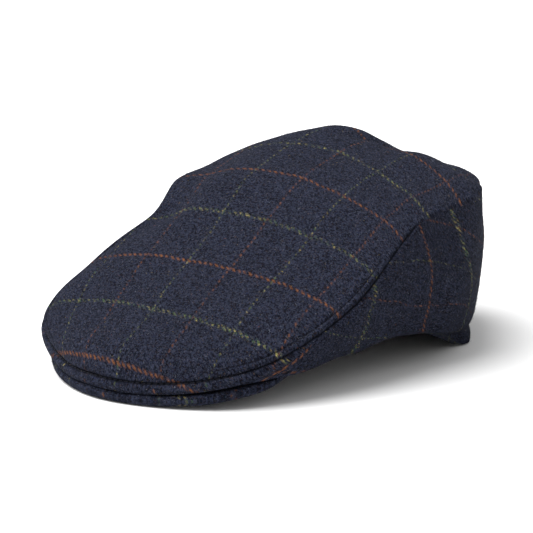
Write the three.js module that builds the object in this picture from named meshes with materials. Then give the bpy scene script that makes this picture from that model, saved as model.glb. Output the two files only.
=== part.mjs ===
// A tweed flat cap: a one-piece top whose front edge is turned down over the peak, two side panels
// that start as points above the corners of the peak and meet at the centre back, and a stiffened
// peak covered in the same cloth. Millimetres, +Z up, the peak points along -Y and the wearer's left
// is +X. The cap stands on the front of its peak and the back of its edge.
import * as THREE from "three";

// Driving sizes.
const crownLength = 266; // front lip to the fullest part of the back
const crownWidth = 189; // across the fullest part of the sides
const crownHeight = 123; // ground to the top of the crown, before it sinks and swells
const openingLength = 211; // head opening, front to back
const openingWidth = 165; // head opening, side to side
const openingSetback = 44; // front lip to the front of the head opening
const archHeight = 20; // how far the opening's edge rises over the ears
const lipHeight = 5.5; // turned front edge of the top
const clothWall = 2.2; // tweed with its backing
const hemWall = 3.2; // cloth turned up and stitched round the lower edge
const hemDepth = 13; // height of the turned-up cloth
const tuckHeight = 8; // elasticated back: its crease above the edge
const tuckDepth = 2.4; // how far the crease pulls in
const tuckSpread = 4; // half height of the crease
const peakThickness = 5.4; // board and its two covers
const cornerThickness = 2.4; // the same at the peak's corners
const peakProud = 0.7; // how far the peak stands out past the lip
const peakGap = 0.4; // below the lip, and between the peak and the side's edge
const lipLift = 1.3; // how much wider that gap opens towards the corners
const seamGap = 0.3; // between pieces that are sewn together
const openingSquareness = 2.4; // of the head opening's front half, where 2 is an oval

// Half of the crown, one row for each section, from the centre front round the side to the centre
// back. along: place of the seam from front to back, share of crownLength. out: half width there,
// share of crownWidth / 2. seam: its height, share of crownHeight. rise: middle of the top above
// the seam, share of crownHeight. arch: how square the top's arch is. turn: place on the head
// opening, degrees from the front. open: 0 where the lower edge is the lip's, 1 where it is the
// head opening's. edge: height of the opening's edge, share of archHeight. belly: how far the side
// swells out, share of crownWidth / 2. tuck: share of tuckDepth. lift: share of lipLift.
const sections = [
  { along: 0, out: 0, seam: 0.0935, rise: 0, arch: 2.4, turn: 0, open: 0, edge: 0.5, belly: 0, tuck: 0, lift: 0 },
  { along: 0.03, out: 0.35, seam: 0.096, rise: 0.105, arch: 2.4, turn: 18, open: 0, edge: 0.5, belly: 0, tuck: 0, lift: 0.1 },
  { along: 0.095, out: 0.64, seam: 0.133, rise: 0.123, arch: 2.4, turn: 34, open: 0, edge: 0.4, belly: 0, tuck: 0, lift: 1 },
  { along: 0.19, out: 0.84, seam: 0.21, rise: 0.122, arch: 2.4, turn: 50, open: 0.25, edge: 0.4, belly: 0.005, tuck: 0, lift: 0.6 },
  { along: 0.34, out: 0.96, seam: 0.382, rise: 0.103, arch: 2.4, turn: 66, open: 0.95, edge: 0.76, belly: 0.025, tuck: 0, lift: 0 },
  { along: 0.51, out: 0.98, seam: 0.655, rise: 0.055, arch: 2.4, turn: 84, open: 1, edge: 1, belly: 0.06, tuck: 0, lift: 0 },
  { along: 0.66, out: 0.97, seam: 0.698, rise: 0.11, arch: 2.4, turn: 104, open: 1, edge: 0.43, belly: 0.09, tuck: 0.8, lift: 0 },
  { along: 0.79, out: 0.86, seam: 0.732, rise: 0.121, arch: 2.4, turn: 122, open: 1, edge: 0.02, belly: -0.03, tuck: 1, lift: 0 },
  { along: 0.89, out: 0.66, seam: 0.7, rise: 0.098, arch: 2.4, turn: 140, open: 1, edge: 0, belly: -0.04, tuck: 1, lift: 0 },
  { along: 0.965, out: 0.38, seam: 0.672, rise: 0.06, arch: 2.4, turn: 159, open: 1, edge: 0, belly: 0.04, tuck: 1, lift: 0 },
  { along: 1, out: 0, seam: 0.69, rise: 0, arch: 2.4, turn: 180, open: 1, edge: 0, belly: 0.09, tuck: 1, lift: 0 },
];
const lastSection = sections.length - 1;

// Places in the table above: where a side panel starts as a point on the lower edge, where it
// reaches its full height, and where the peak has its corner.
const sideTip = 2.25;
const sideFull = 3.5;
const peakCorner = 3.5;

// Swellings and dents of the soft crown. x, y and z: place, shares of crownWidth / 2, crownLength
// (from the front) and crownHeight. long and wide: reach along and across the fold, shares of
// crownWidth / 2. heading: line of the fold on the plan, degrees from +X. push: outwards, or inwards
// where negative, share of crownHeight.
const folds = [
  { x: -0.77, y: 0.215, z: 0.12, long: 0.35, wide: 0.3, heading: 70, push: 0.08 },
  { x: -0.885, y: 0.44, z: 0.6, long: 0.3, wide: 0.25, heading: 80, push: -0.1 },
  { x: -0.86, y: 0.59, z: 0.8, long: 0.25, wide: 0.25, heading: 90, push: -0.055 },
  { x: -0.39, y: 0.825, z: 0.92, long: 0.3, wide: 0.3, heading: 0, push: 0.047 },
  { x: 0.14, y: 0.88, z: 0.8, long: 0.35, wide: 0.25, heading: 90, push: -0.073 },
  { x: 0.705, y: 0.858, z: 0.78, long: 0.3, wide: 0.3, heading: 90, push: -0.1 },
];

// Fineness of the faces: rows for each section, steps from the middle of the top to the seam, steps
// down the side, steps down the lip, and steps across the peak.
const rowsEach = 4;
const topSteps = 12;
const sideSteps = 8;
const lipSteps = 2;
const peakSteps = 4;
const edgeSteps = 4;

// A column of the table at a place between two rows, as a smooth curve. It is level where it meets
// the centre line, or runs straight through where throughCentre is set.
function column(name, place, throughCentre = false) {
  const value = (row) => {
    const end = row < 0 ? 0 : lastSection;
    if (row >= 0 && row <= lastSection) return sections[row][name];
    const mirrored = sections[2 * end - row][name];
    return throughCentre ? 2 * sections[end][name] - mirrored : mirrored;
  };
  const row = Math.min(Math.floor(place), lastSection - 1);
  const t = place - row;
  const [a, b, c, d] = [value(row - 1), value(row), value(row + 1), value(row + 2)];
  return b + 0.5 * t * (c - a + t * (2 * a - 5 * b + 4 * c - d + t * (3 * (b - c) + d - a)));
}

// Seam between the top and the lip or side, on the wearer's left.
function seamPoint(place) {
  return new THREE.Vector3(
    (crownWidth / 2) * column("out", place, true),
    crownLength * column("along", place),
    crownHeight * column("seam", place),
  );
}

// Direction on the plan that points out of the cap, square to the seam.
function outward(place) {
  const step = 0.02;
  const run = seamPoint(Math.min(place + step, lastSection)).sub(seamPoint(Math.max(place - step, 0)));
  if (place <= step || place >= lastSection - step) run.y = 0;
  return new THREE.Vector3(run.y, -run.x, 0).normalize();
}

// Edge of the head opening at an angle from its front.
function openingPoint(turn, height) {
  const [s, c] = [Math.sin(THREE.MathUtils.degToRad(turn)), Math.cos(THREE.MathUtils.degToRad(turn))];
  const power = c > 0 ? 2 / openingSquareness : 1;
  return new THREE.Vector3(
    (openingWidth / 2) * Math.max(s, 0) ** power,
    openingSetback + (openingLength / 2) * (1 - Math.sign(c) * Math.abs(c) ** power),
    height,
  );
}

// Lower edge of the crown: that of the front lip, passing into the edge of the head opening.
function lowerEdge(place) {
  const lip = seamPoint(place);
  lip.z -= lipHeight;
  const opening = openingPoint(column("turn", place, true), archHeight * column("edge", place));
  return lip.lerp(opening, THREE.MathUtils.clamp(column("open", place), 0, 1));
}

// Moves a point of the crown in or out by the folds near it.
function folded(point, side) {
  const reachUnit = crownWidth / 2;
  const push = folds.reduce((sum, fold) => {
    const dx = side * point.x - (crownWidth / 2) * fold.x;
    const dy = point.y - crownLength * fold.y;
    const dz = point.z - crownHeight * fold.z;
    const heading = THREE.MathUtils.degToRad(fold.heading);
    const along = dx * Math.cos(heading) + dy * Math.sin(heading);
    const across = Math.hypot(dy * Math.cos(heading) - dx * Math.sin(heading), dz);
    const reach = (along / fold.long) ** 2 + (across / fold.wide) ** 2;
    return sum + crownHeight * fold.push * Math.exp(-reach / reachUnit ** 2);
  }, 0);
  const heart = new THREE.Vector3(0, openingSetback + openingLength / 2, crownHeight / 4);
  return point.addScaledVector(point.clone().sub(heart).normalize(), push);
}

// Outer face of the crown at a place round it. share runs from 0 on the centre line of the top to 1
// at the seam and 2 at the lower edge. side is 1 on the wearer's left and -1 on the right.
function crownPoint(place, share, side) {
  const seam = seamPoint(place);
  if (share <= 1) {
    const arch = (1 - share ** column("arch", place)) ** 0.62;
    const rise = crownHeight * column("rise", place, true);
    return folded(new THREE.Vector3(seam.x * share, seam.y, seam.z + rise * arch), side);
  }
  const down = share - 1;
  const bottom = lowerEdge(place);
  const belly = (crownWidth / 2) * column("belly", place);
  const middle = new THREE.Vector3(seam.x, seam.y, (seam.z + bottom.z) / 2).addScaledVector(outward(place), belly);
  const height = seam.distanceTo(bottom);
  const fromCrease = ((1 - down) * height - tuckHeight) / tuckSpread;
  const tuck = -tuckDepth * column("tuck", place) * Math.exp(-(fromCrease ** 2));
  const point = seam.multiplyScalar((1 - down) ** 2);
  point.addScaledVector(middle, 2 * down * (1 - down)).addScaledVector(bottom, down ** 2);
  point.addScaledVector(outward(place), tuck);
  return folded(point, side);
}

// Height of the side at a place, along the cloth.
function sideHeight(place) {
  return seamPoint(place).distanceTo(lowerEdge(place));
}

// Share of the side's height that belongs to the top at a place: all of it in front of the side
// panel's tip, and none behind the place where that panel has its full height.
function lipShare(place) {
  return THREE.MathUtils.clamp((sideFull - place) / (sideFull - sideTip), 0, 1);
}

// Thickness of the cloth: the hem along the lower edge is thicker.
function wall(place, share) {
  if (share <= 1) return clothWall;
  const fromEdge = (2 - share) * sideHeight(place);
  return THREE.MathUtils.lerp(hemWall, clothWall, THREE.MathUtils.smoothstep(fromEdge, hemDepth - 2, hemDepth + 2));
}

// The outer and the inner point of the cloth at a place.
function throughCloth(place, share, side) {
  const step = 0.02;
  const p = THREE.MathUtils.clamp(place, step, lastSection - step);
  const s = THREE.MathUtils.clamp(share, step, 2 - step);
  const round = crownPoint(p + step, s, side).sub(crownPoint(p - step, s, side));
  const down = crownPoint(p, s + step, side).sub(crownPoint(p, s - step, side));
  const inwards = round.cross(down).normalize();
  if (place === 0 || place === lastSection) {
    inwards.x = 0;
    if (share <= 1) inwards.z = 0;
    inwards.normalize();
  }
  const outer = crownPoint(place, share, side);
  const inner = outer.clone().addScaledVector(inwards, wall(place, share));
  if (share === 0 || place === 0 || place === lastSection) inner.x = 0;
  return [outer, inner].map((point) => new THREE.Vector3(side * point.x, point.y, point.z));
}

// Triangles of one body. Points that coincide become one, and faces that this closes are left out.
class Body {
  constructor() {
    this.places = new Map();
    this.positions = [];
    this.faces = [];
  }

  vertex(point) {
    const key = point.toArray().map((v) => Math.round(v * 1e3)).join();
    if (!this.places.has(key)) {
      this.places.set(key, this.places.size);
      this.positions.push(...point.toArray());
    }
    return this.places.get(key);
  }

  triangle(...points) {
    const [a, b, c] = points.map((point) => this.vertex(point));
    if (a !== b && b !== c && c !== a) this.faces.push(a, b, c);
  }

  quad(a, b, c, d) {
    this.triangle(a, b, c);
    this.triangle(a, c, d);
  }

  geometry() {
    const made = new THREE.BufferGeometry();
    made.setAttribute("position", new THREE.Float32BufferAttribute(this.positions, 3));
    made.setIndex(this.faces);
    made.computeVertexNormals();
    return made;
  }
}

// Closes a sheet of cloth given as rows of [outer, inner] points. lastCut says whether its last row
// is an edge of its own.
function sheet(rows, lastCut) {
  const body = new Body();
  const last = rows.length - 1;
  for (let i = 0; i < last; i++) {
    const [near, far] = [rows[i], rows[i + 1]];
    const end = near.length - 1;
    for (let j = 0; j < end; j++) {
      body.quad(near[j][0], near[j + 1][0], far[j + 1][0], far[j][0]);
      body.quad(near[j][1], far[j][1], far[j + 1][1], near[j + 1][1]);
    }
    body.quad(near[0][0], far[0][0], far[0][1], near[0][1]);
    body.quad(near[end][0], near[end][1], far[end][1], far[end][0]);
  }
  if (lastCut) {
    for (let j = 0; j < rows[last].length - 1; j++) {
      body.quad(rows[last][j][0], rows[last][j + 1][0], rows[last][j + 1][1], rows[last][j][1]);
    }
  }
  return body.geometry();
}

function makeTop() {
  const half = (place, side) => {
    const row = [];
    for (let j = 0; j <= topSteps; j++) row.push(throughCloth(place, 1 - (1 - j / topSteps) ** 1.5, side));
    for (let j = 1; j <= lipSteps && lipShare(place) > 0; j++) {
      row.push(throughCloth(place, 1 + (lipShare(place) * j) / lipSteps, side));
    }
    while (row.length < topSteps + lipSteps + 1) row.push(row[row.length - 1]);
    return row;
  };
  const rows = [];
  for (let i = 0; i <= lastSection * rowsEach; i++) {
    rows.push([...half(i / rowsEach, -1).reverse(), ...half(i / rowsEach, 1).slice(1)]);
  }
  return sheet(rows, false);
}

function makeSide(side) {
  const tip = sideTip + (seamGap / lipHeight) * (sideFull - sideTip);
  const places = [tip];
  for (let i = Math.ceil(tip * rowsEach); i <= lastSection * rowsEach; i++) places.push(i / rowsEach);
  const rows = places.map((place) => {
    const seam = 1 + lipShare(place);
    const gap = place === lastSection ? 3 * seamGap : seamGap; // three pieces meet at the back
    const first = place === tip ? 2 : Math.min(seam + gap / sideHeight(place), 2);
    const row = [];
    for (let j = 0; j <= sideSteps; j++) {
      row.push(throughCloth(place, THREE.MathUtils.lerp(first, 2, j / sideSteps), side));
    }
    if (first < 2) {
      const cut = throughCloth(place, seam, side);
      row[0][1] = cut[1].add(row[0][0]).sub(cut[0]);
    }
    return row;
  });
  for (const pair of rows[rows.length - 1]) for (const point of pair) point.x = (side * seamGap) / 2;
  return sheet(side > 0 ? rows : rows.map((row) => [...row].reverse()), true);
}

// The peak in slices from its front edge back to the head opening.
function makePeak() {
  const slices = [];
  const count = Math.round(peakCorner * rowsEach);
  const cornerTurn = column("turn", peakCorner, true);
  for (let i = -count; i <= count; i++) {
    const side = Math.sign(i);
    const place = Math.abs(i) / rowsEach;
    const near = Math.abs(i) / count;
    const thick = THREE.MathUtils.lerp(peakThickness, cornerThickness, near ** 4);
    const outer = lowerEdge(place).addScaledVector(outward(place), peakProud);
    outer.z -= peakGap + lipLift * THREE.MathUtils.clamp(column("lift", place), 0, 1) + thick / 2;
    const inner = openingPoint(cornerTurn * near, outer.z);
    inner.lerp(outer, 0.75 * near ** 8);
    const corner = lowerEdge(peakCorner);
    const slope = (corner.z - lowerEdge(0).z) / (corner.y - lowerEdge(0).y);
    inner.z += slope * (inner.y - outer.y);
    const inwards = inner.clone().sub(outer).setZ(0).normalize();
    const slice = [];
    for (let j = 1; j <= peakSteps; j++) {
      const spine = outer.clone().addScaledVector(inwards, thick / 2).lerp(inner, j / peakSteps);
      slice.unshift(spine.clone().setZ(spine.z + thick / 2));
      slice.push(spine.clone().setZ(spine.z - thick / 2));
    }
    const round = [];
    for (let j = 0; j <= edgeSteps; j++) {
      const angle = (Math.PI * j) / edgeSteps;
      const point = outer.clone().addScaledVector(inwards, (thick / 2) * (1 - Math.sin(angle)));
      round.push(point.setZ(outer.z + (thick / 2) * Math.cos(angle)));
    }
    slice.splice(peakSteps, 0, ...round);
    slices.push(slice.map((point) => point.setX(side < 0 ? -point.x : point.x)));
  }
  const body = new Body();
  const around = slices[0].length;
  for (let i = 0; i + 1 < slices.length; i++) {
    for (let j = 0; j < around; j++) {
      const next = (j + 1) % around;
      body.quad(slices[i][j], slices[i][next], slices[i + 1][next], slices[i + 1][j]);
    }
  }
  const last = slices.length - 1;
  for (let j = 0; j + 1 < around / 2; j++) {
    const k = around - 1 - j;
    body.quad(slices[0][j], slices[0][k], slices[0][k - 1], slices[0][j + 1]);
    body.quad(slices[last][j], slices[last][j + 1], slices[last][k - 1], slices[last][k]);
  }
  return body.geometry();
}

const cloth = new THREE.MeshStandardMaterial({ color: 0x2b2f3f, roughness: 0.95, metalness: 0 });
const cap = new THREE.Group();
const pieces = [
  ["crown_top", makeTop()],
  ["side_left", makeSide(1)],
  ["side_right", makeSide(-1)],
  ["peak", makePeak()],
];
for (const [name, geometry] of pieces) {
  const mesh = new THREE.Mesh(geometry, cloth);
  mesh.name = name;
  cap.add(mesh);
}

// The middle of the cap on the ground.
const extent = new THREE.Box3().setFromObject(cap);
cap.position.set(-(extent.min.x + extent.max.x) / 2, -(extent.min.y + extent.max.y) / 2, -extent.min.z);

export default cap;
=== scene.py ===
import math

import bpy
import numpy as np
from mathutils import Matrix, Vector


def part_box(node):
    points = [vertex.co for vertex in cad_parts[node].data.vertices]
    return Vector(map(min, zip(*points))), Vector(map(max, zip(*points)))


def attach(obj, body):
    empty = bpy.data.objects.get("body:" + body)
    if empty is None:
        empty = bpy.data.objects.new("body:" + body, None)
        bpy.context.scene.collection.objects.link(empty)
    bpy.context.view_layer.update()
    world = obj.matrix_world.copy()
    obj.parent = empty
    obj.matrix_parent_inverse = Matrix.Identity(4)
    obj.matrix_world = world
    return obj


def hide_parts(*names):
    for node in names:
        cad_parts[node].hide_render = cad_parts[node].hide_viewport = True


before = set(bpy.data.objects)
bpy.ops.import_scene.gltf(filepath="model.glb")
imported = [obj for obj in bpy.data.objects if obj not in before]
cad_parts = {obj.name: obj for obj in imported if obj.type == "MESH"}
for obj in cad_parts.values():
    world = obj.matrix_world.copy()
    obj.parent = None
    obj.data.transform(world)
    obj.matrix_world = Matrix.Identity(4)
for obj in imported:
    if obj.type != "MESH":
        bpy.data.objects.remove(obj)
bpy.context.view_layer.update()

# The top of the crown: one piece of wool tweed that runs from the front edge over the head to the
# centre back, steamed to shape over a block. It is stitched down along a groove at the front, turned
# under as a lip, and sewn to a side panel on each side. Soft dents and swellings are left in it.
crown_length = 0.266
crown_width = 0.189
crown_height = 0.123
opening_length = 0.211
opening_width = 0.165
opening_setback = 0.044
opening_squareness = 2.4
arch_height = 0.020
arch_power = 2.4
shoulder_power = 0.62
lip_height = 0.0055
cloth_wall = 0.0022
hem_wall = 0.0032
hem_depth = 0.013
hem_fade = 0.004
tuck_height = 0.008
tuck_depth = 0.0024
tuck_spread = 0.004
corner_sag = 0.0040
corner_place = 3.2
corner_spread = 0.5
side_tip = 2.25
side_full = 3.5

# Half of the crown, a row for each section from the centre front round the side to the centre back.
# A place on the cap is a row of this table, or lies between two. Along, out and seam say where the
# seam runs, as shares of the crown's length, half width and height, and rise is how far the centre
# line stands above it. Turn is the angle round the head opening. Open leads the lower edge from the
# lip, at 0, to the opening, at 1, where edge is its share of the arch's height. Belly and tuck are
# how far the side swells out and is drawn in, and lift is how far the lip is raised off the peak.
section_columns = ("along", "out", "seam", "rise", "turn", "open", "edge", "belly", "tuck", "lift")
sections = np.array([
    (0.000, 0.00, 0.0935, 0.000, 0, 0.00, 0.50, 0.000, 0.0, 0.0),
    (0.030, 0.35, 0.0960, 0.105, 18, 0.00, 0.50, 0.000, 0.0, 0.1),
    (0.095, 0.64, 0.1330, 0.123, 34, 0.00, 0.40, 0.000, 0.0, 1.0),
    (0.190, 0.84, 0.2100, 0.122, 50, 0.25, 0.40, 0.005, 0.0, 0.6),
    (0.340, 0.96, 0.3820, 0.103, 66, 0.95, 0.76, 0.025, 0.0, 0.0),
    (0.510, 0.98, 0.6550, 0.055, 84, 1.00, 1.00, 0.060, 0.0, 0.0),
    (0.660, 0.97, 0.6980, 0.110, 104, 1.00, 0.43, 0.090, 0.8, 0.0),
    (0.790, 0.86, 0.7320, 0.121, 122, 1.00, 0.02, -0.030, 1.0, 0.0),
    (0.890, 0.66, 0.7000, 0.098, 140, 1.00, 0.00, -0.040, 1.0, 0.0),
    (0.965, 0.38, 0.6720, 0.060, 159, 1.00, 0.00, 0.040, 1.0, 0.0),
    (1.000, 0.00, 0.6900, 0.000, 180, 1.00, 0.00, 0.090, 1.0, 0.0),
])
last_section = len(sections) - 1

# A part of a row or share that is small enough to give a direction, how many places a fine line
# has, and a length or share that stands in for nothing where it divides.
small_step = 0.02
fine_count = 2000
tiny = 1e-6

# Swellings and dents: x, y and z of each, its reach along and across, its heading in degrees, and
# its push, outwards or in.
folds = np.array([
    (-0.770, 0.215, 0.12, 0.35, 0.30, 70, 0.080),
    (-0.885, 0.440, 0.60, 0.30, 0.25, 80, -0.100),
    (-0.860, 0.590, 0.80, 0.25, 0.25, 90, -0.055),
    (-0.390, 0.825, 0.92, 0.30, 0.30, 0, 0.047),
    (0.140, 0.880, 0.80, 0.35, 0.25, 90, -0.073),
    (0.705, 0.858, 0.78, 0.30, 0.30, 90, -0.100),
    (-0.110, 0.825, 0.85, 0.26, 0.08, 53, -0.034),
    (-0.240, 0.860, 0.85, 0.20, 0.14, 53, 0.020),
])

# The cap is worked out from its own zero, the centre front of the lip on the plan, and is then put
# in its place in the frame. Folds push away from a point in the middle of the head hollow.
peak_proud = 0.0007
ground_lift = 0.00039
peak_low, peak_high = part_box("peak")
cap_place = np.array([(peak_low.x + peak_high.x) / 2, peak_low.y + peak_proud, ground_lift])
hollow_middle = np.array([0, opening_setback + opening_length / 2, crown_height / 4])


def smooth_column(values, place, through_centre=False):
    """A smooth curve through a column, mirrored at its ends, at places between two rows."""
    last = len(values) - 1
    before = 2 * values[0] - values[1] if through_centre else values[1]
    after = 2 * values[last] - values[last - 1] if through_centre else values[last - 1]
    v = np.concatenate([[before], values, [after]])
    row = np.clip(np.floor(place).astype(int), 0, last - 1)
    t = place - row
    a, b, c, d = v[row], v[row + 1], v[row + 2], v[row + 3]
    return b + 0.5 * t * (c - a + t * (2 * a - 5 * b + 4 * c - d + t * (3 * (b - c) + d - a)))


def column(name, place, through_centre=False):
    return smooth_column(sections[:, section_columns.index(name)], place, through_centre)


def seam_point(place):
    """The seam between the top and the lip or side panel, on the wearer's left."""
    across = crown_width / 2 * column("out", place, True)
    return np.stack([across, crown_length * column("along", place), crown_height * column("seam", place)], -1)


def outward(place):
    """The direction on the plan that points out of the cap, square to the seam."""
    ahead = seam_point(np.minimum(place + small_step, last_section))
    run = ahead - seam_point(np.maximum(place - small_step, 0))
    at_centre = (place <= small_step) | (place >= last_section - small_step)
    run[..., 1] = np.where(at_centre, 0, run[..., 1])
    out = np.stack([run[..., 1], -run[..., 0], np.zeros_like(run[..., 0])], -1)
    return out / np.linalg.norm(out, axis=-1, keepdims=True)


def opening_point(turn, height):
    """The edge of the head opening at an angle from its front."""
    sine, cosine = np.maximum(np.sin(np.radians(turn)), 0), np.cos(np.radians(turn))
    power = np.where(cosine > 0, 2 / opening_squareness, 1.0)
    back = opening_setback + opening_length / 2 * (1 - np.sign(cosine) * np.abs(cosine) ** power)
    return np.stack([opening_width / 2 * sine**power, back, height], -1)


def bump(distance, width):
    """1 at no distance, and falling away over a width."""
    return np.exp(-((distance / width) ** 2))


def eased(value, start, end):
    """A step from 0 to 1 that starts and ends gently."""
    t = np.clip((value - start) / (end - start), 0, 1)
    return t * t * (3 - 2 * t)


def lower_edge(place):
    """The lower edge of the crown: the lip's at the front, passing into the head opening's.

    It hangs a little over the corners of the peak.
    """
    lip = seam_point(place)
    lip[..., 2] -= lip_height
    opening = opening_point(column("turn", place, True), arch_height * column("edge", place))
    edge = lip + (opening - lip) * np.clip(column("open", place), 0, 1)[..., None]
    edge[..., 2] -= corner_sag * bump(place - corner_place, corner_spread)
    return edge


def folded(point, side):
    """Moves points in or out by the folds near them."""
    reach_unit = crown_width / 2
    push = np.zeros(point.shape[:-1])
    for x, y, z, long, wide, heading, strength in folds:
        dx = side * point[..., 0] - reach_unit * x
        dy = point[..., 1] - crown_length * y
        dz = point[..., 2] - crown_height * z
        cosine, sine = math.cos(math.radians(heading)), math.sin(math.radians(heading))
        reach = (dx * cosine + dy * sine) / long
        across = np.hypot(dy * cosine - dx * sine, dz) / wide
        push += crown_height * strength * np.exp(-(reach**2 + across**2) / reach_unit**2)
    away = point - hollow_middle
    return point + away / np.linalg.norm(away, axis=-1, keepdims=True) * push[..., None]


def crown_point(place, share, side):
    """The crown's outer face: share is 0 on the centre line, 1 at the seam and 2 at the lower edge."""
    place, share, side = np.broadcast_arrays(place, share, side)
    seam = seam_point(place)
    over = np.minimum(share, 1)
    arch = np.maximum(1 - over**arch_power, 0) ** shoulder_power
    top_height = seam[..., 2] + crown_height * column("rise", place, True) * arch
    top = np.stack([seam[..., 0] * over, seam[..., 1], top_height], -1)
    down = np.maximum(share - 1, 0)[..., None]
    bottom = lower_edge(place)
    middle = seam.copy()
    middle[..., 2] = (seam[..., 2] + bottom[..., 2]) / 2
    middle += outward(place) * (crown_width / 2 * column("belly", place))[..., None]
    wall = seam * (1 - down) ** 2 + middle * 2 * down * (1 - down) + bottom * down**2
    height = np.linalg.norm(seam - bottom, axis=-1)
    from_crease = ((1 - down[..., 0]) * height - tuck_height) / tuck_spread
    wall -= outward(place) * (tuck_depth * column("tuck", place) * np.exp(-(from_crease**2)))[..., None]
    point = folded(np.where(share[..., None] <= 1, top, wall), side)
    point[..., 0] *= side
    return point


def crown_inwards(place, share, side):
    """The direction through the cloth into the cap."""
    p = np.clip(place, small_step, last_section - small_step)
    s = np.clip(share, small_step, 2 - small_step)
    round_cap = crown_point(p + small_step, s, side) - crown_point(p - small_step, s, side)
    down = crown_point(p, s + small_step, side) - crown_point(p, s - small_step, side)
    inwards = np.cross(round_cap, down) * np.asarray(side)[..., None]
    ends = (np.broadcast_to(place, s.shape) == 0) | (np.broadcast_to(place, s.shape) == last_section)
    inwards[..., 0] = np.where(ends, 0, inwards[..., 0])
    inwards[..., 2] = np.where(ends & (share <= 1), 0, inwards[..., 2])
    return inwards / np.linalg.norm(inwards, axis=-1, keepdims=True)


def side_height(place):
    """From the seam down to the lower edge."""
    return np.linalg.norm(seam_point(place) - lower_edge(place), axis=-1)


def lip_share(place):
    """How much of the side's height the lip takes: all up to a panel's tip, then less, then none."""
    return np.clip((side_full - place) / (side_full - side_tip), 0, 1)


def wall_thickness(place, share):
    """The cloth, and the cloth with its hem near the lower edge."""
    from_edge = (2 - share) * side_height(place)
    blend = np.clip((from_edge - hem_depth) / hem_fade + 0.5, 0, 1)
    return np.where(share <= 1, cloth_wall, hem_wall + (cloth_wall - hem_wall) * blend)


def lengths_along(points, axis=0):
    """How long a line of points is up to each of them."""
    steps = np.linalg.norm(np.diff(points, axis=axis), axis=-1)
    start = np.zeros_like(steps.take([0], axis))
    return np.concatenate([start, np.cumsum(steps, axis=axis)], axis=axis)


def even_places(first, last, spacing):
    """Places round the crown that lie evenly along its seam."""
    fine = np.linspace(first, last, fine_count)
    run = lengths_along(seam_point(fine))
    return np.interp(np.linspace(0, run[-1], round(run[-1] / spacing) + 1), run, fine)


# The groove and the stitched row beside the seam, both pressed into the cloth. The groove is crisp
# round the front and along the sides. Behind the ears it is pressed flat, and the top laps over it.
# The tweed also darkens both with painted shade where the seam is crisp.
groove_depth = 0.0020
groove_width = 0.0009
row_distance = 0.0040
row_depth = 0.0009
row_width = 0.0007
row_start = (2.1, 2.8)
row_end = 4.5
row_fade = 0.4
stitch_pitch = 0.0032
welt_height = 0.0006
welt_width = 0.0011
lip_roll = 0.0011
flat_from = 4.7
flat_by = 5.2
lap = 0.0014
lap_rise = 0.00012
seam_fineness = 0.0008
seam_places = even_places(0, last_section, seam_fineness)


def from_seam(point, side):
    """Distance of points from the seam of their side."""
    line = crown_point(seam_places, 1.0, side)
    nearest = [np.linalg.norm(line - each, axis=-1).min() for each in point.reshape(-1, 3)]
    return np.array(nearest).reshape(point.shape[:-1])


def seam_relief(place, distance, above):
    """How far the cloth stands out near the seam; above is true on the top's side of it."""
    crisp = 1 - eased(place, flat_from, flat_by)
    relief = -groove_depth * bump(distance, groove_width) * crisp
    beside = eased(place, *row_start) * eased(place, row_end, row_end - row_fade) * above
    relief -= row_depth * bump(distance - row_distance, row_width) * beside
    relief += welt_height * bump(distance - row_distance / 2, welt_width) * beside
    return relief


def seam_chart(place, distance, crispness):
    """Millimetres along the seam and from it, and how crisp it is, for the seams attribute."""
    # The crispness also sets how dark the painted shade in the groove and the row is.
    fine = np.linspace(0, last_section, fine_count)
    along = np.interp(place, fine, lengths_along(seam_point(fine)))
    crisp = crispness * (1 - eased(place, flat_from, flat_by))
    return np.stack([along * 1000, distance * 1000, crisp], -1)


slow_wave = 0.00035
quick_wave = 0.0002


def waviness(point):
    """The slight unevenness that soft cloth keeps: slow waves, and lower, quicker ones on them.

    The factors of x, y and z are radians for each metre.
    """
    x, y, z = point[..., 0], point[..., 1], point[..., 2]
    slow = np.sin(x * 92 + 1.3 * np.sin(y * 61)) * np.sin(y * 83 + 1.1 * np.sin(z * 74 + x * 40))
    quick = quick_wave * np.sin(x * 210 + y * 140) * np.sin(z * 190 - y * 160)
    return slow_wave * slow + quick


# How the check lies on the top, charted along the centre line in steps of 40 mm from the front:
# where the rust lengthwise thread runs, how far apart the lengthwise lines are, how far the cross
# lines slant for each millimetre to the left, how far they bow towards the front at 45 mm from the
# centre line, and how many cross lines have been passed.
chart_step = 0.040
chart_columns = ("rust", "apart", "slant", "bow", "passed")
chart = np.array([
    (38.0, 24.0, 0.00, 7.0, -0.18),
    (27.5, 26.5, 0.00, 1.8, 0.735),
    (16.0, 29.0, 0.00, 0.4, 1.67),
    (10.5, 31.5, 0.08, 0.0, 2.67),
    (6.0, 34.5, 0.20, 0.0, 3.73),
    (1.0, 37.0, 0.38, 0.0, 4.83),
    (-3.0, 35.0, 0.50, 0.0, 5.92),
    (-6.0, 24.0, 0.50, 0.0, 7.00),
    (-6.0, 24.0, 0.50, 0.0, 8.08),
    (-6.0, 24.0, 0.50, 0.0, 9.16),
    (-6.0, 24.0, 0.50, 0.0, 10.24),
])
bow_at = 0.045
cross_repeat = 44.0
length_repeat = 30.0

# On the wearer's right the cross lines have only this share of the slant. The straight threads are
# all taken to be level_at long where they are level_thread from the front on the plan.
right_slant = 0.15
slant_rounds = 4
level_thread = 0.080
level_at = 0.094
across_count = 127
back_count = 267


def charted(name, back):
    row = np.clip(back / chart_step, 0, len(chart) - 1)
    return smooth_column(chart[:, chart_columns.index(name)], row, True)


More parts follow.
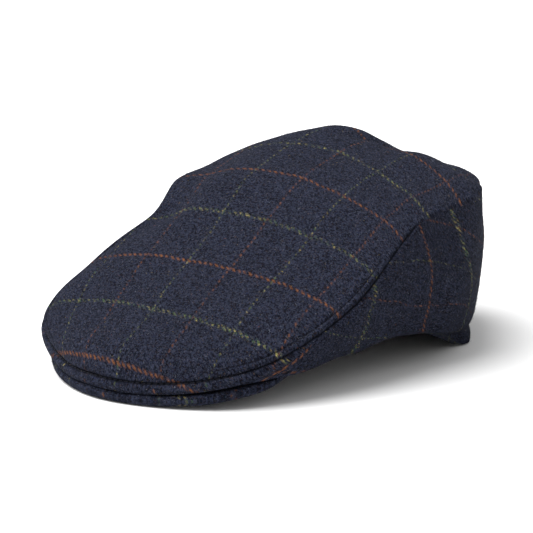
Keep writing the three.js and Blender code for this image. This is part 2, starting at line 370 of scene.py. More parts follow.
def length_back(x, y):
    """Length of cloth from the front to a point, along a thread that runs straight back."""
    fine = np.linspace(0, last_section, fine_count)
    xs = np.linspace(-crown_width / 2, crown_width / 2, across_count)
    ys = np.linspace(0, crown_length, back_count)
    place = np.interp(ys, crown_length * column("along", fine), fine)
    seam = seam_point(place)
    share = np.clip(np.abs(xs)[:, None] / np.maximum(seam[:, 0], tiny), 0, 1)
    arch = np.maximum(1 - share**arch_power, 0) ** shoulder_power
    height = seam[:, 2] + crown_height * column("rise", place, True) * arch
    steps = np.hypot(np.diff(ys), np.diff(height, axis=1))
    run = np.concatenate([np.zeros((len(xs), 1)), np.cumsum(steps, axis=1)], axis=1)
    level = np.argmin(np.abs(ys - level_thread))
    run += level_at - run[:, level : level + 1]
    i = np.clip((x - xs[0]) / (xs[1] - xs[0]), 0, len(xs) - 1.001)
    j = np.clip(y / ys[1], 0, len(ys) - 1.001)
    a, b = i.astype(int), j.astype(int)
    near = run[a, b] * (1 - i + a) + run[a + 1, b] * (i - a)
    far = run[a, b + 1] * (1 - i + a) + run[a + 1, b + 1] * (i - a)
    return near * (1 - j + b) + far * (j - b)


def top_chart(place, share, across, side):
    """Threads on the top, in millimetres across and along the cloth."""
    seam = seam_point(place)
    back = length_back(side * seam[..., 0] * np.minimum(share, 1), seam[..., 1])
    back = back - charted("bow", back) / 1000 * (across / bow_at) ** 2
    centre = back
    for _ in range(slant_rounds):
        centre = back + charted("slant", centre) * np.where(across > 0, across, right_slant * across)
    lengthwise = (across * 1000 - charted("rust", back)) / charted("apart", back) * length_repeat
    return lengthwise, charted("passed", centre) * cross_repeat


merge_distance = 0.00001
least_edge = 0.000005


def cloth_sheet(name, outer, inner, threads, sewn, closed_ends):
    """Shapes a grid to the two faces of a sheet of cloth, with its edges turned round.

    Its threads go into a UV map in millimetres. Its seams go into an attribute: the millimetres along
    the seam and from it, and how crisp the seam is.
    """
    if closed_ends[0]:
        mid = (outer[:1] + inner[:1]) / 2
        outer, inner = np.concatenate([mid, outer]), np.concatenate([mid, inner])
        threads, sewn = np.concatenate([threads[:1], threads]), np.concatenate([sewn[:1], sewn])
    if closed_ends[1]:
        mid = (outer[-1:] + inner[-1:]) / 2
        outer, inner = np.concatenate([outer, mid]), np.concatenate([inner, mid])
        threads, sewn = np.concatenate([threads, threads[-1:]]), np.concatenate([sewn, sewn[-1:]])
    points = np.concatenate([outer, inner[:, ::-1], outer[:, :1]], axis=1) + cap_place
    threads = np.concatenate([threads, threads[:, ::-1], threads[:, :1]], axis=1)
    sewn = np.concatenate([sewn, sewn[:, ::-1], sewn[:, :1]], axis=1)
    rows, columns = points.shape[:2]
    bpy.ops.object.select_all(action="DESELECT")
    bpy.ops.mesh.primitive_grid_add(x_subdivisions=columns - 1, y_subdivisions=rows - 1, size=1)
    piece = bpy.context.object
    piece.name = name
    mesh = piece.data
    mesh.name = name
    mesh.vertices.foreach_set("co", points.reshape(-1).astype(np.float32))
    corner = np.zeros(len(mesh.loops), np.int32)
    mesh.loops.foreach_get("vertex_index", corner)
    mesh.uv_layers[0].name = "cloth"
    at_corners = threads.reshape(-1, 2)[corner].astype(np.float32)
    mesh.uv_layers["cloth"].data.foreach_set("uv", at_corners.reshape(-1))
    seams = mesh.attributes.new("seams", "FLOAT_VECTOR", "POINT")
    seams.data.foreach_set("vector", sewn.reshape(-1).astype(np.float32))
    bpy.ops.object.mode_set(mode="EDIT")
    bpy.ops.mesh.select_all(action="SELECT")
    bpy.ops.mesh.remove_doubles(threshold=merge_distance)
    bpy.ops.mesh.dissolve_degenerate(threshold=least_edge)
    bpy.ops.mesh.normals_make_consistent(inside=False)
    bpy.ops.object.mode_set(mode="OBJECT")
    rounding = piece.modifiers.new("rounding", "SUBSURF")
    rounding.levels = 1
    rounding.render_levels = 1
    bpy.ops.object.modifier_apply(modifier="rounding")
    bpy.ops.object.shade_smooth()
    return piece


# The grid of the top: its rows, the distances from the seam of the columns that are close to it,
# drawn together where the top is narrow, and the shares of the way down the lip of the last ones.
top_spacing = 0.0034
near_seam = np.array([0, 0.0004, 0.0010, 0.0017, 0.0025, 0.0033, 0.0040, 0.0047, 0.0056, 0.0075, 0.0110])
narrow_top = 0.030
far_steps = 20
lip_shares = np.array([0.08, 0.18, 0.32, 0.50, 0.68, 0.84, 0.95, 1.0])
towards_seam = 1 - (1 - np.linspace(0, 1, 300)) ** 2
places = even_places(0, last_section, top_spacing)
halves = []
for side in (-1, 1):
    shares = []
    for length in lengths_along(crown_point(places[:, None], towards_seam[None, :], side), axis=1):
        close = near_seam * min(1, length[-1] / narrow_top)
        far = np.linspace(0, length[-1] - close[-1], far_steps)
        spots = np.concatenate([far, length[-1] - close[::-1][1:]])
        shares.append(np.interp(spots, length, towards_seam))
    shares = np.array(shares)
    lapped = lap / side_height(places) * eased(places, flat_from, flat_by)
    lip = 1 + (lip_share(places) + lapped)[:, None] * lip_shares
    shares = np.concatenate([shares, lip], axis=1)
    place_grid = np.repeat(places[:, None], shares.shape[1], axis=1)
    outer = crown_point(place_grid, shares, side)
    inwards = crown_inwards(place_grid, shares, side)
    inner = outer + inwards * wall_thickness(place_grid, shares)[..., None]
    across = lengths_along(outer, axis=1)
    seam_column = far_steps + len(near_seam) - 2
    on_top = np.minimum(across, across[:, seam_column : seam_column + 1])
    lengthwise, cross = top_chart(place_grid, shares, side * on_top, side)
    cross -= (across - on_top) * 1000
    distance = from_seam(outer, side)
    relief = seam_relief(place_grid, distance, shares <= 1)
    down_lip = np.where(shares > 1, (shares - 1) / np.maximum(lip_share(place_grid), tiny), 0)
    relief += lip_roll * np.sin(math.pi * np.clip(down_lip, 0, 1)) * lip_share(place_grid)
    relief += lap_rise * (shares > 1) * eased(place_grid, flat_from, flat_by)
    relief += waviness(outer)
    outer = outer - inwards * relief[..., None]
    for face in (outer, inner):
        face[:, 0, 0] = 0
        face[[0, -1], :, 0] = 0
    sewn = seam_chart(place_grid, np.where(shares <= 1, distance, -distance), 1.0)
    halves.append((outer, inner, np.stack([lengthwise, cross], -1), sewn))
joined = [np.concatenate([right[:, ::-1], left[:, 1:]], axis=1) for right, left in zip(*halves)]
crown_top = cloth_sheet("tweed_top", *joined, closed_ends=(False, False))


class Strand:
    """A number that varies over a surface. Arithmetic on strands adds Math nodes."""

    def __init__(self, loom, socket):
        self.loom = loom
        self.socket = socket

    def math(self, operation, *others):
        values = dict(enumerate((self, *others)))
        return self.loom.add("Math", {"operation": operation}, values)

    def __add__(self, other):
        return self.math("ADD", other)

    def __sub__(self, other):
        return self.math("SUBTRACT", other)

    def __rsub__(self, other):
        return self.math("MULTIPLY_ADD", -1, other)

    def __mul__(self, other):
        return self.math("MULTIPLY", other)

    def __mod__(self, other):
        return self.math("FLOORED_MODULO", other)

    def __gt__(self, other):
        return self.math("GREATER_THAN", other)

    __radd__ = __add__
    __rmul__ = __mul__


class Loom:
    """The nodes of one material."""

    def __init__(self, name):
        self.material = bpy.data.materials.new(name)
        self.material.use_nodes = True
        self.tree = self.material.node_tree
        self.tree.nodes.clear()

    def add(self, kind, settings, sockets, output=0):
        """Adds a node with its settings and its sockets' values or links, and gives one output."""
        node = self.tree.nodes.new("ShaderNode" + kind)
        for name, value in settings.items():
            setattr(node, name, value)
        for name, value in sockets.items():
            if isinstance(value, Strand):
                self.tree.links.new(value.socket, node.inputs[name])
            else:
                node.inputs[name].default_value = value
        return Strand(self, node.outputs[output]) if node.outputs else None

    def mix(self, factor, first, second):
        """A colour between two. The numbered sockets are the ones that a Mix node has for colours."""
        return self.add("Mix", {"data_type": "RGBA"}, {0: factor, 6: first, 7: second}, output=2)

    def noise(self, across, along, scale, detail=2.0, roughness=0.6, shift=0.0):
        """Noise on the cloth. Each shift gives another pattern."""
        point = self.add("CombineXYZ", {}, {0: across, 1: along, 2: shift})
        settings = {"noise_dimensions": "3D"}
        sockets = {"Vector": point, "Scale": scale, "Detail": detail, "Roughness": roughness}
        return self.add("TexNoise", settings, sockets)

    def eased(self, value, start, end, low=0.0, high=1.0):
        """A number from low to high as the value passes from start to end, with gentle ends."""
        sockets = {0: value, 1: start, 2: end, 3: low, 4: high}
        return self.add("MapRange", {"interpolation_type": "SMOOTHSTEP"}, sockets)

    def band(self, value, centre, repeat, width, soft):
        """1 on a band that comes back at each repeat, with soft edges."""
        distance = ((value + (repeat / 2 - centre)) % repeat - repeat / 2).math("ABSOLUTE")
        return self.eased(distance, width / 2 + soft / 2, width / 2 - soft / 2)

    def finish(self, look):
        """Ends the material with one shader that has these inputs."""
        shader = self.add("BsdfPrincipled", {}, look)
        self.add("OutputMaterial", {}, {"Surface": shader})
        return self.material


def colour(*screen):
    """A shader colour from the 0 to 255 values of red, green and blue that a screen shows."""
    linear = [c / 255 / 12.92 if c < 10 else ((c / 255 + 0.055) / 1.055) ** 2.4 for c in screen]
    return (*linear, 1.0)


def tweed(name):
    """Wool tweed in a two-and-two twill, brushed, with a check of rust and yellow-green threads.

    The thread is 1 mm thick, so the chart in millimetres counts threads as well. A band that comes
    only once has a repeat longer than the cloth. The groove and the stitched row beside each seam
    are darkened with painted shade.
    """
    navy, slate, pale = colour(4, 5, 14), colour(46, 50, 67), colour(122, 126, 136)
    peat, teal = colour(48, 36, 30), colour(18, 34, 40)
    fawn, blue = colour(98, 78, 60), colour(30, 40, 88)
    rust, moss, straw = colour(114, 72, 44), colour(66, 90, 62), colour(162, 144, 88)
    shadow, bloom = colour(3, 3, 6), colour(150, 158, 176)
    twill, once = 4.0, 900.0
    row_shows, row_fades = (50.0, 75.0), (182.0, 158.0)
    loom = Loom(name)
    chart_point = loom.add("UVMap", {"uv_map": "cloth"}, {})
    across = loom.add("SeparateXYZ", {}, {0: chart_point}, output=0)
    along = loom.add("SeparateXYZ", {}, {0: chart_point}, output=1)
    slow = loom.noise(across, along, 0.06, detail=1.0, shift=3.0)
    sway = loom.noise(across, along, 1.0, detail=3.0, roughness=0.7, shift=9.0)
    creep = loom.noise(across, along, 1.0, detail=3.0, roughness=0.7, shift=31.0)
    across = across + (slow - 0.5) * 2.4 + (sway - 0.5) * 2.8
    along = along + (slow - 0.5) * -1.8 + (creep - 0.5) * 2.8
    weft_up = loom.band(across + along, 0.0, twill, 2.0, 1.0)
    warp_up = 1 - weft_up
    lengthwise_fibre = loom.noise(across * 1.3, along * 0.6, 0.85, detail=2.5, roughness=0.75, shift=1.0)
    crosswise_fibre = loom.noise(across * 0.6, along * 1.3, 0.85, detail=2.5, roughness=0.75, shift=5.0)
    fibre = crosswise_fibre + (lengthwise_fibre - crosswise_fibre) * warp_up
    ground = loom.mix(loom.eased(fibre, 0.40, 0.63), navy, slate)
    tint = loom.noise(across, along, 0.8, detail=2.0, roughness=0.8, shift=41.0)
    ground = loom.mix(loom.eased(tint, 0.56, 0.72, 0.0, 0.55), ground, peat)
    ground = loom.mix(loom.eased(tint, 0.44, 0.28, 0.0, 0.45), ground, teal)
    hair = loom.noise(across, along, 1.7, detail=2.0, roughness=0.8, shift=17.0)
    ground = loom.mix(loom.eased(hair, 0.62, 0.74, 0.0, 0.75), ground, pale)
    specks = loom.noise(across, along, 1.3, detail=1.0, shift=67.0)
    ground = loom.mix(loom.eased(specks, 0.68, 0.76, 0.0, 0.65), ground, fawn)
    ground = loom.mix(loom.eased(specks, 0.32, 0.24, 0.0, 0.65), ground, blue)
    wear = loom.noise(across, along, 0.32, detail=3.0, roughness=0.7, shift=23.0)
    matted = loom.eased(fibre, 0.30, 0.56, 0.35, 1.0)
    often = loom.eased(wear, 0.36, 0.56, 0.25, 1.0) * matted
    seldom = loom.eased(wear, 0.40, 0.58, 0.08, 1.0) * matted
    rust_cross = loom.band(along, 1.0, 2 * cross_repeat, 2.0, 1.4) * weft_up * often
    patchy = loom.eased(loom.noise(across, along, 0.55, detail=1.0, shift=53.0), 0.36, 0.54, 0.45, 1.0)
    strokes = loom.eased(loom.noise(across, along, 1.6, detail=1.0, shift=71.0), 0.40, 0.54, 0.25, 1.0)
    moss_cross = loom.band(along, cross_repeat + 1.0, 2 * cross_repeat, 2.8, 1.6) * weft_up * seldom
    moss_cross = moss_cross * patchy * strokes
    rust_length = loom.band(across, 0.5, 2 * length_repeat, 1.1, 0.9) * warp_up * seldom
    moss_length = loom.band(across, length_repeat + 0.5, 2 * length_repeat, 1.0, 0.9) * warp_up * seldom
    straw_part = loom.eased(tint, 0.48, 0.60)
    dye_and_shade = loom.mix(rust_length * 0.65, ground, rust)
    dye_and_shade = loom.mix(moss_length * 0.65, dye_and_shade, loom.mix(straw_part, moss, straw))
    dye_and_shade = loom.mix(rust_cross * 0.95, dye_and_shade, rust)
    dye_and_shade = loom.mix(moss_cross, dye_and_shade, loom.mix(straw_part, moss, straw))
    # Painted shade: the groove along each seam and the stitched row beside it are darkened towards near
    # black, as shade falls in them. The seams attribute says where, and its crispness how strongly.
    seams = loom.add("Attribute", {"attribute_name": "seams"}, {}, output=1)
    along_seam, from_it, crispness = (loom.add("SeparateXYZ", {}, {0: seams}, output=i) for i in range(3))
    crease = loom.band(from_it, 0.0, once, 1.3, 0.9) * crispness
    beside = loom.eased(along_seam, *row_shows) * loom.eased(along_seam, *row_fades)
    row = loom.band(from_it, row_distance * 1000, once, 0.8, 0.9) * crispness * beside
    pulled = loom.band(along_seam, 0.0, stitch_pitch * 1000, 2.4, 0.6)
    # How much painted shade each spot gets: in the groove, and in the row, more where each stitch pulls.
    seam_shade = crease * 0.85 + row * (pulled * 0.35 + 0.45)
    # From here on the base colour holds the dyed check with the painted shade of the seams on it.
    dye_and_shade = loom.mix(seam_shade, dye_and_shade, shadow)
    turn = 2 * math.pi
    yarn = (along * turn).math("COSINE") * weft_up + (across * turn).math("COSINE") * warp_up
    height = weft_up * 0.25 - yarn * 0.15 + fibre + hair * 0.5
    normal = loom.add("Bump", {}, {"Strength": 0.9, "Distance": 0.0007, "Height": height})
    return loom.finish({"Base Color": dye_and_shade, "Roughness": 0.95, "Specular IOR Level": 0.04, "Normal": normal,
                        "Sheen Weight": 0.02, "Sheen Roughness": 0.5, "Sheen Tint": bloom})


tweed_cloth = tweed("tweed")
crown_top.data.materials.append(tweed_cloth)
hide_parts("crown_top")
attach(crown_top, "root")

# The side panels: two pieces of the same tweed that start as points above the corners of the peak
# and meet at the centre back. Each is sewn to the top, its lower edge is turned up as a hem, and
# behind the ears the hem is drawn in, so that the cloth hangs over it in a tuck.
seam_gap = 0.00006
side_spacing = 0.0038
above_edge = np.array([0.0, 0.0010, 0.0024, 0.0040, 0.0054, 0.0066, 0.0076, 0.0086, 0.0100, 0.0120, 0.0150])
side_steps = 11
near_count = 6
narrow_seam = 0.02
narrow_side = 0.05

# Places and sizes of the groove's end at the front, of the crease over the drawn-in hem with the
# cloth that hangs over it, and of the small swelling where the hem ends at the back.
groove_end = 2.8
groove_fade = 0.7
side_crisp = (2.4, 3.2)
crease_starts = (5.0, 5.7)
crease_climbs = (5.0, 6.5)
crease_ends = (6.7, 7.2)
crease_base = 0.0001
crease_height = 0.0072
crease_depth = 0.0050
crease_over = 0.0004
crease_under = 0.0010
overhang = 0.0009
overhang_width = 0.0030
hem_end = 0.0008
hem_end_place = 7.1
hem_end_spread = 0.25
hem_end_height = 0.0015
hem_end_width = 0.0030

# The uprights of the check: where two of them stand, how much each stretch of them leans for every
# metre of height and over which heights, and how far two of them are shifted low on the side.
side_rust = 0.146
side_moss = 0.168
front_lean, front_height, front_stretch, front_fade = 1.5, 0.025, 0.075, 0.025
upper_lean, upper_height, upper_stretch = 0.37, 0.050, (0, 0.020)
lower_lean, lower_height, lower_stretch = 0.15, 0.045, (0.120, 0.135)
rear_lean, rear_heights, rear_middle = 0.30, (0.045, 0.085), 0.056
rear_starts, rear_ends = (0.150, 0.165), (0.235, 0.205)
lean_softness = 0.006
upright_shifts = (
    (-0.010, (0.066, 0.034), (0.150, 0.180), (0.235, 0.205)),
    (0.0045, (0.052, 0.036), (0.070, 0.085), (0.122, 0.108)),
)

# The level lines of the check: the height of the middle one, how they fall before and behind the
# turn and drop at the back, how the middle one and the low one depart from that, and the distances
# to the next ones above and below.
side_level = 0.0610
level_turn, level_middle = 0.130, 0.125
fall_before, fall_behind = 0.25, 0.12
back_drop, back_stretch = 0.018, (0.145, 0.215)
middle_reach, middle_drop, middle_stretch = 0.015, 0.0095, (0.157, 0.190)
crest_rise, crest_at, crest_reach = 0.0025, 0.137, 0.015
low_drop, low_levels, low_stretch = 0.0030, (-0.008, -0.018), (0.118, 0.136)
apart_above, apart_below = 0.024, 0.020


def softened(amount):
    """The amount where it is above zero, with a gentle beginning."""
    return (amount + np.hypot(amount, lean_softness)) / 2


def side_chart(point):
    """Threads on a side panel, in millimetres up and along the cloth."""
    y, z = point[..., 1], point[..., 2]
    leaning = np.clip((front_stretch - y) / front_fade, 0, 1) * (front_height - z) * front_lean
    leaning += upper_lean * softened(z - upper_height) * eased(side_moss - y, *upper_stretch)
    leaning -= lower_lean * softened(lower_height - z) * eased(y, *lower_stretch)
    rear_height = np.clip(z, *rear_heights) - rear_middle
    leaning += rear_lean * rear_height * eased(y, *rear_starts) * eased(y, *rear_ends)
    for shift, heights, starts, ends in upright_shifts:
        leaning += shift * eased(z, *heights) * eased(y, *starts) * eased(y, *ends)
    y = y + leaning
    before = np.minimum(y - side_rust, 0) * 1000
    between = np.clip((y - side_rust) / (side_moss - side_rust), 0, 1) * cross_repeat
    run = lengths_along(point)
    reached = np.take_along_axis(run, np.argmax(y >= side_moss, axis=0)[None, :], axis=0)
    behind = np.where(y >= side_moss, run - reached, 0) * 1000
    level = z - side_level + fall_before * (np.minimum(y, level_turn) - level_middle)
    level += fall_behind * np.maximum(y - level_turn, 0)
    level += back_drop * eased(y, *back_stretch)
    middle_line, low_line = bump(level, middle_reach), eased(level, *low_levels)
    crest = crest_rise * bump(y - crest_at, crest_reach)
    level += middle_line * (middle_drop * eased(y, *middle_stretch) - crest)
    level += low_line * low_drop * eased(y, *low_stretch)
    apart = np.where(level > 0, apart_above, apart_below)
    return (level / apart + 1) * length_repeat, before + between + behind


tip = side_tip + seam_gap / lip_height * (side_full - side_tip)
places = even_places(tip, last_section, side_spacing)
shares = []
for place in places:
    height = float(side_height(np.array(place)))
    first = min(1 + float(lip_share(place)) + seam_gap / height, 2) if place > tip else 2
    room = (2 - first) * height
    close = np.minimum(near_seam[:near_count], near_seam[:near_count] * room / narrow_seam)
    edge = above_edge * min(1, room / narrow_side)
    between = np.linspace(close[-1], room - edge[-1], side_steps)[:-1]
    spots = np.concatenate([close[:-1], between, room - edge[::-1]])
    shares.append(first + spots / height)
shares = np.array(shares)
place_grid = np.repeat(places[:, None], shares.shape[1], axis=1)
for side, node in ((1, "side_left"), (-1, "side_right")):
    outer = crown_point(place_grid, shares, side)
    inwards = crown_inwards(place_grid, shares, side)
    inner = outer + inwards * wall_thickness(place_grid, shares)[..., None]
    lengthwise, cross = side_chart(outer)
    distance = from_seam(outer, side)
    grooved = np.clip((place_grid - groove_end) / groove_fade, 0, 1)
    relief = seam_relief(place_grid, distance, False) * grooved
    over_edge = (2 - shares) * side_height(place_grid)
    creased = eased(place_grid, *crease_starts) * (1 - eased(place_grid, *crease_ends))
    crease = crease_height * eased(place_grid, *crease_climbs) + crease_base
    drawn_in = crease_depth * creased * eased(over_edge, crease + crease_over, crease - crease_under)
    relief -= drawn_in
    inner += inwards * drawn_in[..., None]
    relief += overhang * creased * bump(over_edge - crease - overhang_width, overhang_width)
    at_hem_end = bump(over_edge - hem_end_height, hem_end_width)
    relief += hem_end * bump(place_grid - hem_end_place, hem_end_spread) * at_hem_end
    relief += waviness(outer)
    outer = outer - inwards * relief[..., None]
    outer[-1, :, 0] = side * seam_gap / 2
    inner[-1, :, 0] = side * seam_gap / 2
    sewn = seam_chart(place_grid, -distance, eased(place_grid, *side_crisp))
    threads = np.stack([lengthwise, cross], -1)
    panel = cloth_sheet("tweed_" + node, outer, inner, threads, sewn, closed_ends=(True, True))
    panel.data.materials.append(tweed_cloth)
    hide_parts(node)
    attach(panel, "root")

# The peak: a stiff board between two layers of the tweed, sewn together along its edge and turned,
# so that the edge is round. It shows below the lip as a thick dark rim.
peak_thickness = 0.0054
corner_thickness = 0.0020
peak_gap = 0.0004
lip_lift = 0.0011
peak_corner = 3.5
corner_raise = 0.0035
corner_inset = 0.0042
thinned = (2.3, 3.1)
raised = (2.65, 3.25)
inset = (2.5, 3.1)
crescent_share = 0.75
crescent_power = 8
end_closing = 0.15
slice_count = 56
across_steps = 16
edge_steps = 10
rim_seam_depth = 0.0005
peak_rust = 0.0640
peak_moss = 0.0128
corner_turn = column("turn", np.array(peak_corner), True)
slope_from, slope_to = lower_edge(np.array(0.0)), lower_edge(np.array(peak_corner))
peak_slope = (slope_to[2] - slope_from[2]) / (slope_to[1] - slope_from[1])
slices, charts = [], []
for i in range(-slice_count, slice_count + 1):
    near = abs(i) / slice_count
    place = np.array(peak_corner * near)
    mirror = np.array([-1 if i < 0 else 1, 1, 1])
    thick = peak_thickness + (corner_thickness - peak_thickness) * eased(place, *thinned)
    outer = lower_edge(place) + outward(place) * (peak_proud - corner_inset * eased(place, *inset))
    lifted = lip_lift * np.clip(column("lift", place), 0, 1)
    outer[2] += corner_raise * eased(place, *raised) - peak_gap - lifted - thick / 2
    inner = opening_point(corner_turn * near, outer[2])
    inner += (outer - inner) * crescent_share * near**crescent_power
    inner[2] += peak_slope * (inner[1] - outer[1])
    inwards = (inner - outer) * np.array([1, 1, 0])
    inwards /= np.linalg.norm(inwards)
    closing = end_closing if abs(i) == slice_count else 1.0
    up = np.array([0, 0, thick / 2 * closing])
    start = outer + inwards * thick / 2
    spine = [start + (inner - start) * j / across_steps for j in range(1, across_steps + 1)]
    profile = [point + up for point in reversed(spine)]
    chart_line = list(reversed(spine))
    for j in range(edge_steps + 1):
        angle = math.pi * j / edge_steps
        pinch = rim_seam_depth if j == edge_steps // 2 + 1 else 0.0
        reach = thick / 2 * (1 - math.sin(angle)) + pinch
        profile.append(outer + inwards * reach + up * math.cos(angle))
        chart_line.append(start - inwards * thick / 2 * min(angle, math.pi - angle))
    profile += [point - up for point in spine]
    chart_line += spine
    slices.append([point * mirror for point in profile])
    charts.append([point * mirror for point in chart_line])
slices = np.array(slices)
threads = 1000 * (np.array(charts)[..., :2] - (peak_rust, peak_moss)) + (0, cross_repeat)
middle = slices.shape[1] // 2
upper, lower = slices[:, : middle + 1], slices[:, middle:][:, ::-1]
unsewn = np.zeros(upper.shape)
peak = cloth_sheet("tweed_peak", upper, lower, threads[:, : middle + 1], unsewn, closed_ends=(True, True))
peak.data.materials.append(tweed_cloth)
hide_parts("peak")
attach(peak, "root")

# The stitching: short navy stitches of a heavy thread, which lie in the groove round the front and in
# the row beside the seam of each side. Each is pressed into the cloth, so that little of it shows.
stitch_length = 0.0023
stitch_radius = 0.00022
stitch_sides = 6
stitch_rings = ((-1.0, 0.25), (-0.7, 0.85), (0.0, 1.0), (0.7, 0.85), (1.0, 0.25))
spindle_tip = 0.02
first_stitch = 0.05
last_stitch = row_end - 0.2
groove_left = 2.5
groove_sunk = 0.55
stitch_raised = 0.5


def strung(name, rings, sides, middles, ways, outs, lengths, widths):
    """Joins many small closed spindles of one form, each with its own place, way, length and width."""
    turns = np.arange(sides) * 2 * math.pi / sides
    beside = np.cross(outs, ways)
    shape = []
    for share, width in rings:
        for turn in turns:
            shape.append((share / 2, width * math.cos(turn), width * math.sin(turn)))
    near_tip, far_tip = rings[0][0] / 2 - spindle_tip, rings[-1][0] / 2 + spindle_tip
    shape = np.array([(near_tip, 0, 0), *shape, (far_tip, 0, 0)])
    run = ways[:, None] * (shape[:, 0] * lengths[:, None])[..., None]
    wide = beside[:, None] * (shape[:, 1] * widths[:, None])[..., None]
    tall = outs[:, None] * (shape[:, 2] * widths[:, None])[..., None]
    points = (middles[:, None] + run + wide + tall).reshape(-1, 3)
    last = len(shape) - 1
    faces = []
    for i in range(sides):
        j = (i + 1) % sides
        faces.append((0, 1 + j, 1 + i))
        for ring in range(len(rings) - 1):
            a, b = 1 + ring * sides, 1 + (ring + 1) * sides
            faces += [(a + i, a + j, b + j), (a + i, b + j, b + i)]
        faces.append((last, last - sides + i, last - sides + j))
    faces = (np.array(faces)[None] + np.arange(len(middles))[:, None, None] * len(shape)).reshape(-1, 3)
    mesh = bpy.data.meshes.new(name)
    mesh.from_pydata(points.tolist(), [], faces.tolist())
    piece = bpy.data.objects.new(name, mesh)
    bpy.context.scene.collection.objects.link(piece)
    return piece


def unit(vectors):
    return vectors / np.linalg.norm(vectors, axis=-1, keepdims=True)


middles, ways, outs = [], [], []
for side in (-1, 1):
    for place in even_places(first_stitch, last_stitch, stitch_pitch):
        here = crown_point(np.array([place]), towards_seam[None], side)[0]
        ahead = crown_point(np.array([place + small_step]), towards_seam[None], side)[0]
        run = lengths_along(here)
        at = np.argmin(np.abs(run[-1] - run - row_distance * float(eased(place, *row_start))))
        inwards = crown_inwards(np.array([place]), towards_seam[at : at + 1], side)[0]
        depth = row_depth if place > groove_left else groove_depth * groove_sunk
        middles.append(here[at] + inwards * (depth - stitch_radius * stitch_raised) + cap_place)
        ways.append(ahead[at] - here[at])
        outs.append(-inwards)
middles, ways, outs = np.array(middles), unit(np.array(ways)), np.array(outs)
count = len(middles)
stitches = strung("seam_stitches", stitch_rings, stitch_sides, middles, ways, outs,
                  np.full(count, stitch_length), np.full(count, stitch_radius))
yarn = Loom("navy_thread")
spot = yarn.add("TexCoord", {}, {}, output=3)
twist = yarn.add("TexNoise", {}, {"Vector": spot, "Scale": 2600.0, "Detail": 1.0})
thread_colour = yarn.mix(yarn.eased(twist, 0.35, 0.65), colour(5, 6, 12), colour(30, 32, 44))
sewing = yarn.finish({"Base Color": thread_colour, "Roughness": 0.7, "Specular IOR Level": 0.2})
stitches.data.materials.append(sewing)
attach(stitches, "root")

# The nap: loose wool fibres that stand out of the brushed cloth all over, mostly dark, with some pale
# grey ones and a few of the rust and yellow-green. They soften the outline and the grooves.
fibre_count = 13000
fibre_sides = 3
fibre_rings = ((-0.5, 0.9), (0.5, 0.8))
fibre_leans = (0.05, 0.42)
fibre_lengths = (0.0010, 0.0028)
fibre_widths = (0.00003, 0.00006)
fibre_slip = 0.0008
fibre_shown = 0.9
facing_out = 0.2
rarer_fibres = ((0.88, colour(112, 116, 128)), (0.965, colour(132, 116, 66)), (0.985, colour(120, 72, 44)))
dice = np.random.default_rng(11)
starts, normals, areas = [], [], []
heart = Vector(cap_place) + Vector(hollow_middle)
for name in ("tweed_top", "tweed_side_left", "tweed_side_right", "tweed_peak"):
    mesh = bpy.data.objects[name].data
    for face in mesh.polygons:
        if face.normal.dot(face.center - heart) > facing_out * (face.center - heart).length:
            starts.append(face.center[:])
            normals.append(face.normal[:])
            areas.append(face.area)
starts, normals, areas = np.array(starts), np.array(normals), np.array(areas)
picks = dice.choice(len(starts), fibre_count, p=areas / areas.sum())
outs = normals[picks]
ways = unit(np.cross(outs, dice.normal(size=(fibre_count, 3))))
slants = dice.uniform(*fibre_leans, fibre_count)[:, None]
lengths = dice.uniform(*fibre_lengths, fibre_count)
widths = dice.uniform(*fibre_widths, fibre_count)
spread_out = ways * dice.uniform(-fibre_slip, fibre_slip, fibre_count)[:, None]
ways = unit(ways + outs * slants)
middles = starts[picks] + spread_out + ways * (lengths / 2)[:, None] * fibre_shown
outs = unit(outs - ways * (outs * ways).sum(-1, keepdims=True))
nap = strung("wool_nap", fibre_rings, fibre_sides, middles, ways, outs, lengths, widths)
shades = np.repeat(dice.uniform(0, 1, fibre_count), fibre_sides * len(fibre_rings) + 2)
shade = nap.data.attributes.new("shade", "FLOAT", "POINT")
shade.data.foreach_set("value", shades.astype(np.float32))
wool = Loom("loose_wool")
pick = wool.add("Attribute", {"attribute_name": "shade"}, {}, output=2)
fibre_colour = wool.mix(wool.eased(pick, 0.0, 0.75), colour(10, 11, 20), colour(50, 54, 68))
for above, dye in rarer_fibres:
    fibre_colour = wool.mix(pick > above, fibre_colour, dye)
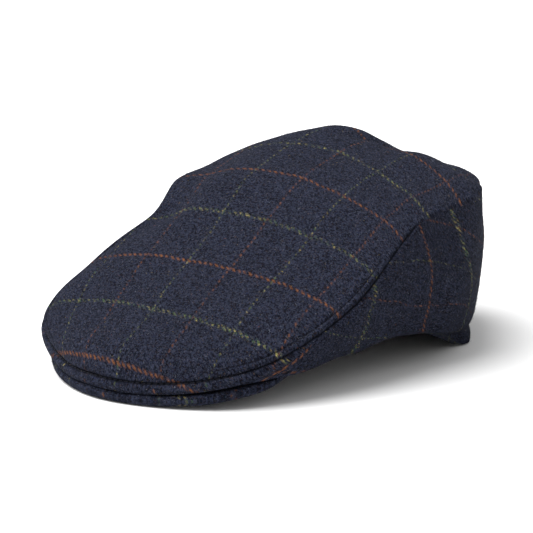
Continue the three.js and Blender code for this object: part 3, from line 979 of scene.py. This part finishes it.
loose_wool = wool.finish({"Base Color": fibre_colour, "Roughness": 0.8, "Specular IOR Level": 0.1})
nap.data.materials.append(loose_wool)
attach(nap, "root")

# The floor, the light and the camera: a white floor under an even white sky and one very wide lamp,
# seen from the front left of the cap, a little above it.
floor_size = 60.0
sky_strength = 0.73
lamp_towards = Vector((-0.31, -0.42, 0.90))
lamp_spread = math.radians(60)
lamp_power = 4.9
bpy.ops.object.select_all(action="DESELECT")
bpy.ops.mesh.primitive_plane_add(size=floor_size)
floor = bpy.context.object
floor.name = "floor"
paint = {"Base Color": (0.85, 0.85, 0.85, 1), "Roughness": 0.9, "Specular IOR Level": 0.1}
floor.data.materials.append(Loom("floor_white").finish(paint))

world = bpy.data.worlds.new("studio")
bpy.context.scene.world = world
world.use_nodes = True
sky = world.node_tree.nodes["Background"]
sky.inputs["Color"].default_value = (1, 1, 1, 1)
sky.inputs["Strength"].default_value = sky_strength

lamp = bpy.data.lights.new("lamp_key", "SUN")
lamp.angle = lamp_spread
lamp.energy = lamp_power
holder = bpy.data.objects.new("lamp_key", lamp)
bpy.context.scene.collection.objects.link(holder)
holder.rotation_euler = lamp_towards.to_track_quat("Z", "Y").to_euler()

# The aim is a point of the cap that the photograph shows at aim_pixel.
camera_turn = math.radians(42)
camera_rise = math.radians(11.92)
camera_distance = 1.150
camera_aim = Vector((-0.0003, 0.0062, 0.0504))
camera_lens = 146.0
photo_side = 533
aim_pixel = (288.3, 254.9)
flat = math.cos(camera_rise)
away = Vector((math.sin(camera_turn) * flat, -math.cos(camera_turn) * flat, math.sin(camera_rise)))
camera = bpy.data.objects.new("camera", bpy.data.cameras.new("camera"))
bpy.context.scene.collection.objects.link(camera)
camera.location = camera_aim + away * camera_distance
camera.rotation_euler = (-away).to_track_quat("-Z", "Y").to_euler()
camera.data.sensor_width = 36
camera.data.lens = camera_lens
camera.data.shift_x = (photo_side / 2 - aim_pixel[0]) / photo_side
camera.data.shift_y = (aim_pixel[1] - photo_side / 2) / photo_side
bpy.context.scene.camera = camera
bpy.context.scene.view_settings.view_transform = "Standard"
